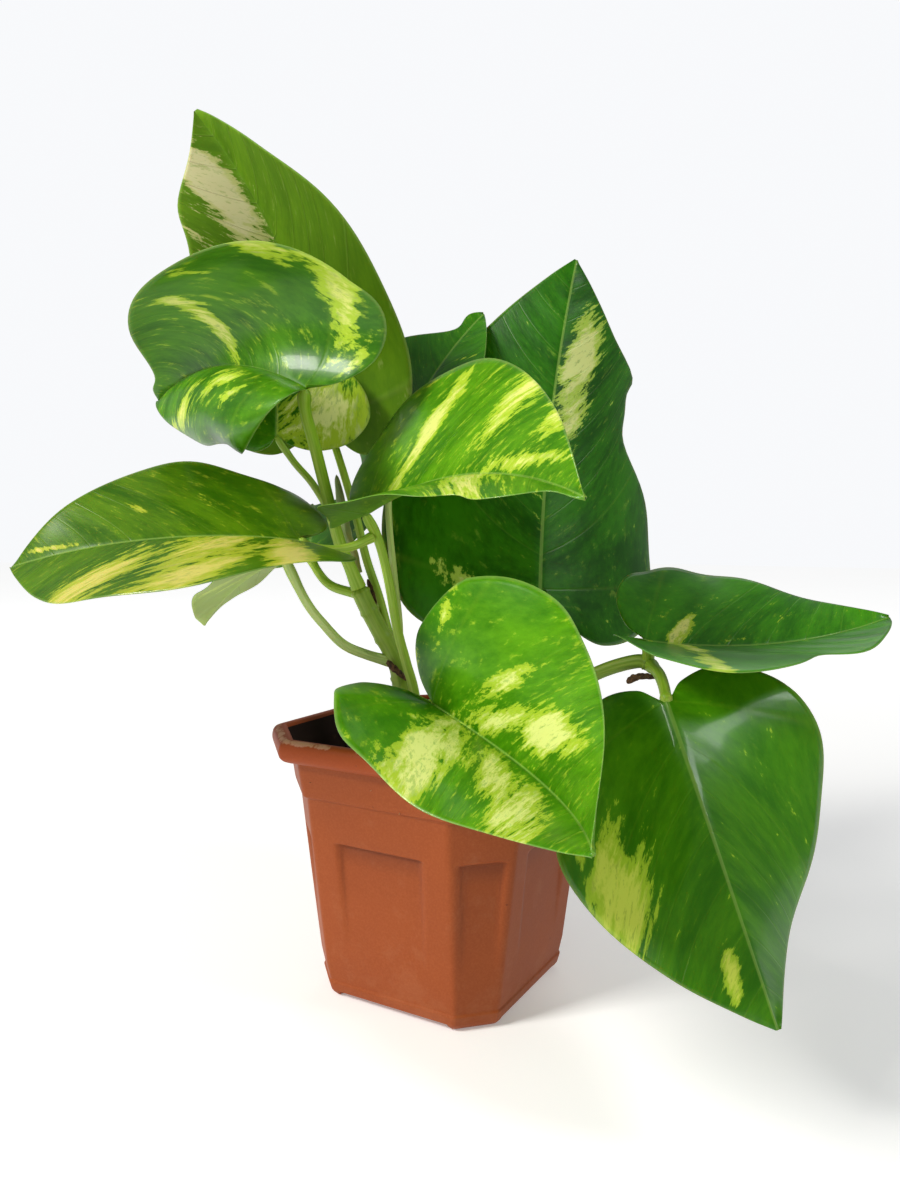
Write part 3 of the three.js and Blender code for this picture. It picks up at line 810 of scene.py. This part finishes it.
def stalk_width(radius):
    """A stalk's radius along it: clasping at its foot, slim in the middle, swollen at its knee."""
    def width_at(share):
        foot = 0.22 * hump(share, 0, 0.10)
        knee = 0.16 * hump(share, 0.93, 0.05)
        end = 0.72 if share > 0.985 else 1.0
        return radius * (0.98 - 0.16 * share + foot + knee) * end
    return width_at


for name, (radius, route) in vines.items():
    width = vine_width(radius * MM, JOINTS[name])
    vine = stem_mesh(name + "_stem", route_in_pot(route), width, 0.0, vine_finish)
    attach(vine, "root")
    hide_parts(name)

for name, (radius, route) in petioles.items():
    skin = pale_stalk_finish if name in PALE_STALKS else stalk_finish
    stalk = stem_mesh(name + "_stalk", route_in_pot(route), stalk_width(radius * MM), GROOVE_DEPTH, skin)
    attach(stalk, "root")
    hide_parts(name)

# ---- the dry sheaths ----
# Papery remains of the sheaths that wrapped each young leaf, still clasping the stems at their
# joints. One is fresh and pale, and the others have dried brown and curled.

HUSK_THICKNESS = 0.12 * MM
HUSK_ROWS = 40
HUSK_ANGLES = np.radians(np.linspace(-115, 115, 17))
HUSK_SPREAD = 1.35                 # how much wider a husk is than the radius stated below

sheaths = {
    "sheath_pale": (1.5, [(-30, 1, 147), (-34, 1, 159), (-36, 1, 171), (-38, 1, 182)]),
    "sheath_dry_middle": (0.9, [(-25, 2, 131), (-25, -1, 138), (-27, -1, 145)]),
    "sheath_dry_low": (0.9, [(-20, -6, 116), (-16, -5, 112), (-13, -4, 109)]),
    "sheath_dry_right": (1.1, [(60, -33, 113), (64, -35, 115), (69, -36, 115)]),
}

husk_finish = mottled_finish(
    "dry_husk", (700, 4.0, 0.7), (0.3, 0.7), rgb(48, 30, 20), rgb(124, 88, 54), (0.7, 0.2), 0.4 * MM)
fresh_sheath_finish = stem_finish(
    "fresh_sheath", rgb(146, 164, 100), rgb(176, 190, 134), rgb(204, 212, 168))


def sheath_mesh(name, route, radius, seed, material):
    """A thin trough that narrows to a point, with a ragged, crumpled edge."""
    shares = np.linspace(0, 1, HUSK_ROWS)
    path = catmull_rom(route, shares)
    _, side, across = carried_frames(path)
    outer, inner = [], []
    for i, share in enumerate(shares):
        width = radius * (1 - share ** 3) ** 0.5 * min(1.0, 0.5 + share * 4) + 0.08 * MM
        crumple = np.array([noise.noise(Vector((seed, share * 9, a * 1.7))) for a in HUSK_ANGLES])
        spread = width * (1 + 0.32 * crumple)
        for depth, rows in ((0, outer), (HUSK_THICKNESS, inner)):
            reach = np.maximum(spread - depth, 0.02 * MM)
            rows.append(ring_about(path[i], reach, HUSK_ANGLES, side[i], across[i]))
    return layered_mesh(name, np.array(outer), np.array(inner), material, material)


def layered_mesh(name, upper, lower, upper_finish, lower_finish):
    """A thin closed shell between two grids of points of the same size."""
    rows, columns = upper.shape[:2]
    points = np.concatenate([upper.reshape(-1, 3), lower.reshape(-1, 3)])
    back = rows * columns
    faces, slots = [], []
    for i in range(rows - 1):
        for j in range(columns - 1):
            a, b = i * columns + j, i * columns + j + 1
            c, d = b + columns, a + columns
            faces.append((a, b, c, d))
            faces.append((back + d, back + c, back + b, back + a))
            slots += [0, 1]
    rim = list(range(columns))
    rim += [i * columns + columns - 1 for i in range(1, rows)]
    rim += [(rows - 1) * columns + j for j in range(columns - 2, -1, -1)]
    rim += [i * columns for i in range(rows - 2, 0, -1)]
    for here, following in zip(rim, rim[1:] + rim[:1]):
        faces.append((following, here, back + here, back + following))
        slots.append(0)
    piece = build_mesh(name, points, faces, upper_finish)
    piece.data.materials.append(lower_finish)
    piece.data.polygons.foreach_set("material_index", slots)
    return piece


for seed, (name, (radius, route)) in enumerate(sheaths.items()):
    material = fresh_sheath_finish if name == "sheath_pale" else husk_finish
    reach = radius * MM * HUSK_SPREAD
    sheath = sheath_mesh(name + "_husk", route_in_pot(route), reach, 3.7 * seed, material)
    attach(sheath, "root")
    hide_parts(name)
    "green_stem" if name == "sheath_pale" else "dry_sheath"

# ---- the leaf blades ----
# Heart-shaped blades, waxy and glossy above and duller below, each growing out of the end of its
# stalk. A midrib runs to the drawn-out tip, sunken above and raised below, and the veins leave it
# in forward curves. Yellow and cream patches and flecks follow the veins, different on each leaf.

BLADE_THICKNESS = 0.55 * MM
BLADE_ROWS = 84
BLADE_COLUMNS = 26                 # on each side of the midrib
VEIN_PITCH = 13 * MM               # from one side vein to the next, along the midrib
QUILTING = 0.11 * MM               # how far the skin swells between two veins
RIPPLES = 2.3                      # waves along each margin
RIPPLE_HEIGHT = 0.8 * MM
RIB_GROOVE = 0.30 * MM             # the midrib above, and the ridge that it makes below
RIB_RIDGE = 0.95 * MM
LOBE_ROWS = 0.3                    # the share of the rows that fan out from the base
LOBE_SPREAD = 0.05                 # the share of the midrib that they leave from
# Half of the outline, from the notch at the base to the tip: across and along, as shares.
MARGIN = [(0.03, 0), (0.16, -0.085), (0.45, -0.135), (0.80, -0.06), (0.985, 0.14),
          (0.97, 0.36), (0.78, 0.60), (0.46, 0.80), (0.17, 0.935), (0.012, 1)]

FLAT_BLADE = dict(
    halves=(1, 1), roll=0, bend=0, sway=0, twist=0, fold=(0, 0), curl=(0, 0), lobe=0, bumps=(), pale=(),
    dark=(42, 98, 4), green=(74, 138, 12), light=(174, 202, 50), cream=(220, 224, 124),
    under=(104, 142, 44), under_share=0.55, flecks=0.35)

# The shape of each blade, in millimetres and degrees in the plant's frame. heading is the way the
# tip points, clockwise from the back seen from above; rise is the slope of the midrib at the base,
# and roll lowers the right side. halves is how much of half the width the left and right have.
# bend, sway and twist are what the midrib turns through from base to tip: down, to the right and
# about itself. fold lifts each half [left, right] like a book and curl rolls it upwards, at the
# base and at the tip, and lobe is how far the lobes droop. A bump in the margin has its side, its
# place along the blade, its spread and its push as a share of the width there. pale lists the
# yellow and cream patches: place across (-1 to 1) and along the blade, half length and half width
# in lengths of the blade, lean outwards from the midrib, and strength. dark and green mix in the
# skin, light and cream in the patches, and under covers under_share of that on the lower side.
blades = {
    "leaf_top_back": dict(
        base=(-47, 34, 208), heading=190, rise=76, roll=2, length=114, width=97, bend=9, sway=36,
        twist=-4, fold=(-29, -14), fold_tip=(-45, -23),
        bumps=[(1, 0.84, 0.09, 0.22), (1, 0.62, 0.12, -0.13)],
        pale=[(0.22, 0.8, 0.3, 0.052, 8, 2.2), (0.12, 0.62, 0.2, 0.018, 8, 1.3),
              (0.5, 0.66, 0.14, 0.02, 15, 0.7)],
        dark=(64, 104, 6), green=(92, 134, 14), light=(200, 196, 130), cream=(214, 204, 160),
        under=(94, 130, 12), under_share=0.22),
    "leaf_upper_left": dict(
        base=(-45, -26, 208), heading=-54, rise=28, roll=5, length=90, width=92, bend=50, sway=15,
        twist=-68, fold=(24, 51), fold_tip=(19, 82), curl=(-190, 90), curl_tip=(-185, 104), lobe=-8,
        bumps=[(1, 0.88, 0.09, -0.5), (-1, 0.42, 0.2, -0.1)],
        pale=[(0.38, 0.48, 0.2, 0.034, 62, 1.15), (0.9, 0.2, 0.1, 0.06, 60, 1.0),
              (0.72, 0.02, 0.2, 0.085, 75, 1.25), (0.4, -0.09, 0.16, 0.03, 95, 1.0),
              (-0.45, 0.6, 0.18, 0.05, 10, 1.2), (-0.36, 0.28, 0.14, 0.045, 25, 1.1),
              (0.85, 0.42, 0.1, 0.03, 50, 0.7), (-0.5, 0.82, 0.13, 0.035, 15, 1.1),
              (-0.3, 0.44, 0.2, 0.024, 20, 1.1), (-0.45, 0.13, 0.14, 0.022, 35, 1.0)],
        dark=(44, 98, 4), green=(80, 138, 14), flecks=0.9),
    "leaf_behind_upper_left": dict(
        base=(-60, 6, 196), heading=0, rise=80, length=40, width=67, halves=(0.55, 1), bend=8,
        pale=[(0.5, 0.12, 0.5, 0.5, 20, 1.3), (-0.5, 0.1, 0.25, 0.3, 20, 0.4)],
        cream=(232, 236, 150), under=(204, 212, 104), under_share=0.65),
    "leaf_small_middle": dict(
        base=(-20, 18, 189), heading=78, rise=67, roll=9, length=72, width=84, halves=(1, 0.6), bend=26,
        sway=-18, twist=24, fold=(2, -3), fold_tip=(27, -13),
        bumps=[(-1, 0.85, 0.11, -0.7)],
        pale=[(-0.62, 0.15, 0.12, 0.08, 30, 1.1), (0.3, 0.62, 0.1, 0.012, 60, 0.8)],
        dark=(38, 100, 3), green=(66, 134, 12), flecks=0.25),
    "leaf_arched_middle": dict(
        base=(-26, -21, 168), heading=133, rise=23, roll=-16, length=100, width=83, halves=(1, 0.6),
        bend=45, sway=2, twist=21, fold=(74, -15), fold_tip=(81, -31), lobe=-4,
        bumps=[(1, 0.92, 0.08, -0.5), (1, 0.61, 0.07, -0.25), (1, -0.12, 0.09, -0.6)],
        pale=[(-0.46, 0.27, 0.24, 0.045, 53, 1.5), (-0.11, 0.72, 0.19, 0.028, 12, 1.3),
              (-0.7, 0.72, 0.34, 0.07, 50, 1.0), (-0.5, 0.86, 0.16, 0.06, 50, 1.2),
              (0.4, 0.6, 0.34, 0.12, 50, 1.0), (-0.62, 0.1, 0.12, 0.03, 80, 0.8),
              (-0.35, 0.62, 0.14, 0.02, 25, 0.7)],
        dark=(52, 112, 4), green=(96, 156, 16), flecks=1.1),
    "leaf_tall_right": dict(
        base=(35, 3, 141), heading=7, rise=72, roll=12, length=129, width=121, bend=-10, sway=9,
        fold=(-11, -13), fold_tip=(-20, -22), curl=(-2, -31), curl_tip=(-6, -49),
        bumps=[(1, 0.53, 0.11, -0.25), (1, 0.76, 0.05, 0.32)],
        pale=[(0.155, 0.66, 0.17, 0.055, 8, 2.2), (-0.16, 0.33, 0.12, 0.02, 35, 0.7),
              (-0.45, 0.02, 0.1, 0.04, 70, 0.6)],
        dark=(22, 74, 1), green=(46, 112, 4), light=(168, 196, 72), cream=(206, 214, 132), flecks=0.3),
    "leaf_low_left": dict(
        base=(-46, -33, 159), heading=-113, rise=7, roll=-15, length=95, width=88, bend=37, sway=35,
        twist=-16, fold=(7, 12), fold_tip=(-3, 18),
        pale=[(-0.48, 0.07, 0.34, 0.065, 84, 1.6), (-0.5, 0.3, 0.34, 0.15, 66, 1.25),
              (-0.55, 0.6, 0.22, 0.11, 40, 1.2), (0.07, 0.85, 0.12, 0.014, 5, 1.0),
              (0.45, 0.3, 0.08, 0.02, 45, 0.7), (0.35, 0.55, 0.05, 0.015, 40, 0.7),
              (-0.12, 0.42, 0.18, 0.02, 25, 0.8)],
        dark=(46, 90, 2), green=(84, 124, 8), light=(170, 182, 46), cream=(208, 198, 100), flecks=0.7),
    "leaf_hanging_left": dict(
        base=(-54, -18, 154), heading=-58, rise=-20, roll=-7, length=52, width=42, bend=23, sway=8,
        fold=(0, 1), fold_tip=(0, 6),
        pale=[(-0.4, 0.35, 0.3, 0.12, 40, 0.8)],
        under=(208, 224, 140)),
    "leaf_behind_stems": dict(
        base=(-51, 16, 154), heading=2, rise=33, roll=-11, length=44, width=48, bend=13, sway=-14,
        fold=(0, 7), fold_tip=(0, 10),
        pale=[(0.8, 0.1, 0.2, 0.12, 30, 0.7)],
        under=(172, 206, 68)),
    "leaf_over_rim": dict(
        base=(-3, -49, 109), heading=134, rise=-18, roll=39, length=107, width=94, bend=-49, sway=27,
        fold=(61, 55), fold_tip=(32, 27), curl=(-29, -11), curl_tip=(2, 9), lobe=4,
        pale=[(-0.27, 0.52, 0.17, 0.055, 12, 1.6), (-0.17, 0.28, 0.18, 0.045, 24, 1.4),
              (-0.42, 0.28, 0.18, 0.03, 38, 1.0), (-0.66, -0.05, 0.14, 0.05, 100, 0.9),
              (-0.28, -0.1, 0.12, 0.025, 100, 0.8), (0.27, 0.72, 0.21, 0.065, 18, 1.5),
              (0.24, 0.47, 0.2, 0.055, 22, 1.4), (0.42, 0.27, 0.3, 0.095, 46, 1.5),
              (0.66, 0.46, 0.16, 0.06, 35, 1.3)],
        dark=(52, 116, 2), green=(92, 156, 14), cream=(224, 232, 136), flecks=0.9),
    "leaf_far_right": dict(
        base=(65, -37, 127), heading=96, rise=-7, roll=-19, length=85, width=76, bend=-31, sway=-18,
        fold=(66, -18), fold_tip=(58, -23), curl=(-17, -7), curl_tip=(-14, 1), lobe=-5,
        bumps=[(1, 0.53, 0.1, -0.28)],
        pale=[(0.5, 0.16, 0.3, 0.045, 86, 1.3), (-0.15, 0.13, 0.15, 0.03, 58, 1.2),
              (-0.08, 0.36, 0.1, 0.014, 14, 0.8), (-0.3, 0.6, 0.06, 0.014, 25, 0.6)],
        dark=(36, 100, 2), green=(64, 138, 8), flecks=0.3),
    "leaf_heart_front": dict(
        base=(65, -66, 113), heading=166, rise=-48, roll=15, length=89, width=96, bend=23, sway=-5,
        twist=-19, fold=(-16, -30), fold_tip=(-35, -17), curl=(5, -31), curl_tip=(8, -26),
        bumps=[(-1, 0.6, 0.3, -0.05)],
        pale=[(0.6, 0.55, 0.18, 0.085, 14, 2.2), (0.4, 0.42, 0.12, 0.018, 30, 0.9),
              (0.14, 0.84, 0.07, 0.026, 8, 2.0), (0.78, 0.36, 0.14, 0.03, 20, 0.9),
              (-0.5, 0.48, 0.02, 0.01, 30, 0.9)],
        dark=(46, 108, 2), green=(74, 138, 8), light=(168, 204, 48), cream=(206, 222, 84), flecks=0.12),
}


def turned(vector, axis, angle):
    """A vector turned about a unit axis."""
    return (vector * math.cos(angle) + np.cross(axis, vector) * math.sin(angle)
            + axis * np.dot(axis, vector) * (1 - math.cos(angle)))


def rib_frames(blade, shares):
    """The midrib's direction, the blade's right and its upper face at shares of the length."""
    heading, rise, roll, bend, sway, twist = (
        math.radians(blade[key]) for key in ("heading", "rise", "roll", "bend", "sway", "twist"))
    level = math.cos(rise)
    forward = np.array([math.sin(heading) * level, math.cos(heading) * level, math.sin(rise)])
    right = turned(np.array([math.cos(heading), -math.sin(heading), 0.0]), forward, roll)
    up = np.cross(right, forward)
    shares = np.asarray(shares, float)[..., None]
    bend = -bend * shares
    along = forward * np.cos(bend) + up * np.sin(bend)
    top = up * np.cos(bend) - forward * np.sin(bend)
    sway = sway * np.maximum(shares, 0)
    swayed = along * np.cos(sway) + right * np.sin(sway)
    across = right * np.cos(sway) - along * np.sin(sway)
    twist = twist * shares
    side = across * np.cos(twist) - top * np.sin(twist)
    face = top * np.cos(twist) + across * np.sin(twist)
    return swayed, side, face


def rib_points(blade, shares):
    """Points of the midrib, followed from the base both ways."""
    fine = np.linspace(-0.25, 1.05, 1301)
    along, _, _ = rib_frames(blade, (fine[1:] + fine[:-1]) / 2)
    steps = along * blade["length"] * MM * np.diff(fine)[:, None]
    run = np.concatenate([[np.zeros(3)], np.cumsum(steps, axis=0)])
    path = run - run[np.argmin(np.abs(fine))] + np.array(blade["base"]) * MM
    return np.stack([np.interp(shares, fine, path[:, k]) for k in range(3)], axis=-1)


def vein_line(x, y, half, length):
    """Where the vein through each point of a flat blade leaves the midrib, in metres."""
    rise = 0.70 * np.abs(x) + 0.95 * x * x / half
    low, high = np.full_like(y, -1.2 * length), np.full_like(y, 1.2 * length)
    for _ in range(26):
        middle = (low + high) / 2
        lean = 1.9 * smoothstep(middle / length, -0.25, 0.22) - 0.9
        beyond = middle + rise * lean > y
        high = np.where(beyond, middle, high)
        low = np.where(beyond, low, middle)
    return (low + high) / 2


def blade_layers(blade):
    """Points above and below, and what the material needs to know at each of them."""
    fine = np.linspace(0, 1, BLADE_COLUMNS + 1) ** 1.35
    across = np.concatenate([-fine[:0:-1], fine])
    rows = np.linspace(0, 1, BLADE_ROWS + 1)
    reach, row = np.meshgrid(np.abs(across), rows)
    sign = np.broadcast_to(np.sign(across), reach.shape)
    right = sign > 0
    margin_x, margin_y = (catmull_rom(MARGIN, rows)[:, k][:, None] * np.ones_like(reach) for k in (0, 1))
    for side, place, spread, push in blade["bumps"]:
        swell = push * np.exp(-((margin_y - place) / spread) ** 2)
        margin_x = np.where(sign == side, margin_x * (1 + swell), margin_x)
    after = np.clip((row - LOBE_ROWS) / (1 - LOBE_ROWS), 0, 1)
    rib_share = np.where(row < LOBE_ROWS, LOBE_SPREAD * row / LOBE_ROWS,
                         LOBE_SPREAD + (1 - LOBE_SPREAD) * after ** 1.15)
    x = margin_x * reach
    share = rib_share * (1 - reach) + margin_y * reach
    half = blade["width"] / 2 * MM * np.where(right, blade["halves"][1], blade["halves"][0])
    to_tip = np.clip(share, 0, 1)

    def along_blade(key):
        start, end = blade[key], blade.get(key + "_tip", blade[key])
        left_right = [start[k] + (end[k] - start[k]) * to_tip for k in (0, 1)]
        return np.radians(np.where(right, left_right[1], left_right[0]))

    fold, curl = along_blade("fold"), along_blade("curl")
    curl = np.where(np.abs(curl) < 1e-3, 1e-3, curl)
    angle = fold + curl * x
    out = half * (np.sin(angle) - np.sin(fold)) / curl
    high = half * (np.cos(fold) - np.cos(angle)) / curl
    droop = blade["lobe"] * MM * np.clip(-share / 0.13, 0, 1) ** 1.5 * x
    length = blade["length"] * MM
    flat_x, flat_y = sign * half * x, share * length
    vein = vein_line(flat_x, flat_y, half, length)
    ripple = np.sin(2 * math.pi * (RIPPLES * share + 0.31 * right))
    quilt = np.cos(2 * math.pi * vein / VEIN_PITCH) * 4 * reach * (1 - reach)
    relief = RIPPLE_HEIGHT * ripple * reach ** 3 + QUILTING * quilt * smoothstep(share, -0.05, 0.15)
    _, side, face = rib_frames(blade, share)
    centre = rib_points(blade, share)
    lean = np.where(reach > 0, angle, 0)
    outward = side * (sign * out)[..., None] + face * (high - droop)[..., None]
    normal = face * np.cos(lean)[..., None] - side * (sign * np.sin(lean))[..., None]
    width = np.abs(flat_x)
    thick = BLADE_THICKNESS * (1 - 0.65 * reach ** 10)
    rib_size = 0.35 + 0.65 * (1 - to_tip)
    groove = RIB_GROOVE * rib_size * np.exp(-((width / (0.9 * MM)) ** 2))
    ridge = RIB_RIDGE * rib_size * np.exp(-((width / (1.0 * MM)) ** 2))
    upper = centre + outward + normal * (relief + thick / 2 - groove)[..., None]
    lower = centre + outward + normal * (relief - thick / 2 - ridge)[..., None]
    pale = np.zeros_like(x)
    for place_x, place_y, long, wide, lean_out, strength in blade["pale"]:
        off_x = (flat_x - place_x * half) / length * (1 if place_x > 0 else -1)
        off_y = flat_y / length - place_y
        c, s = math.cos(math.radians(lean_out)), math.sin(math.radians(lean_out))
        off = ((off_x * s + off_y * c) / long) ** 2 + ((off_x * c - off_y * s) / wide) ** 2
        pale = np.maximum(pale, strength * np.exp(-off) * (sign * place_x >= 0))
    flat = np.stack([flat_x, flat_y, vein], axis=-1)
    patch = np.stack([pale, reach, to_tip], axis=-1)
    return to_pot(upper), to_pot(lower), flat, patch


def blade_finish(name, blade, seed, underside):
    """Leaf skin: green with streaks along the veins, pale patches broken up by them, and gloss."""
    material, graph = new_finish(name + ("_under" if underside else "_skin"))
    x, _, vein = graph.parts_of(graph.known("flat"))
    pale, reach, to_tip = graph.parts_of(graph.known("patch"))
    side = abs(x)
    hand = x.math("GREATER_THAN", 0.0) * 3.7 + seed

    def vein_speckle(across, along, shift, detail, harshness):
        """Noise drawn out along the veins, different on the two halves."""
        place = graph.vector(side * across, vein * along, hand + shift)
        return graph.speckle(place, 1.0, detail, harshness)

    streaks = vein_speckle(85, 270, 0.0, 4.0, 0.62)
    mottle = vein_speckle(330, 520, 2.6, 4.0, 0.75)
    flecks = vein_speckle(190, 560, 9.1, 3.0, 0.60)
    broad = vein_speckle(38, 75, 4.3, 2.0, 0.50)
    grain = graph.speckle(graph.place(), 2600, 2.0)

    dark, green, light, cream, under = (
        rgb(*blade[key]) for key in ("dark", "green", "light", "cream", "under"))
    tone = streaks * 0.30 + broad * 0.40 + mottle * 0.30
    mass = pale * (1 + (broad - 0.5) * 2.2) + (streaks - 0.5) * 2.0 + (mottle - 0.5) * 2.1
    specks = graph.step(flecks * 0.6 + mottle * 0.4, 0.585 - 0.05 * blade["flecks"], 0.69)
    lit = graph.step(mass, 0.48, 0.76).math("MAXIMUM", specks * (0.8 * blade["flecks"]))
    creamy = graph.step(mass + (flecks - 0.5) * 1.2, 0.82, 1.35)
    flooded = graph.step(mottle, 0.54, 0.66) * graph.step(pale, 0.25, 0.70)
    veins = 1 - graph.step(vein.math("PINGPONG", VEIN_PITCH / 2), 0.0, 0.5 * MM)
    rib_half = 0.45 * MM - to_tip * (0.30 * MM)
    rib = 1 - graph.step(side, rib_half, rib_half + 0.4 * MM)
    rim = graph.step(reach, 0.972, 0.998)
    colour = graph.over(
        graph.mix(graph.step(tone, 0.36, 0.64), dark, green),
        (lit * 0.90, light),
        (creamy * 0.95, cream),
        (flooded * 0.45, green),
        (veins * 0.05, light),
        (rib * 0.35, rgb(158, 190, 92)),
        (rim * 0.35, rgb(150, 182, 100)))
    if underside:
        colour = graph.mix(blade["under_share"], colour, under)
        roughness = 0.55 + streaks * 0.15
        relief = veins * 0.9 + flecks * 0.3 + grain * 0.12
        specular, coat = 0.12, 0.0
    else:
        roughness = 0.26 + mottle * 0.14
        relief = flecks * 0.30 - veins * 0.3 + mottle * 0.15 + grain * 0.10
        specular, coat = 0.17, 0.14
    surface(graph, {
        "Base Color": colour,
        "Roughness": roughness,
        "Normal": graph.bump(relief, 0.16 * MM),
        "Specular IOR Level": specular,
        "Coat Weight": coat,
        "Coat Roughness": 0.10,
        "Subsurface Weight": 0.06,
        "Subsurface Scale": 2 * MM,
    })
    return material


for seed, (name, shape) in enumerate(blades.items()):
    blade = {**FLAT_BLADE, **shape}
    upper, lower, flat, patch = blade_layers(blade)
    skin = blade_finish(name, blade, 13.7 * seed, False)
    under = blade_finish(name, blade, 13.7 * seed, True)
    leaf = layered_mesh(name + "_blade", upper, lower, skin, under)
    for label, vectors in (("flat", flat), ("patch", patch)):
        add_attribute(leaf, label, np.concatenate([vectors.reshape(-1, 3)] * 2))
    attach(leaf, "root")
    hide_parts(name)
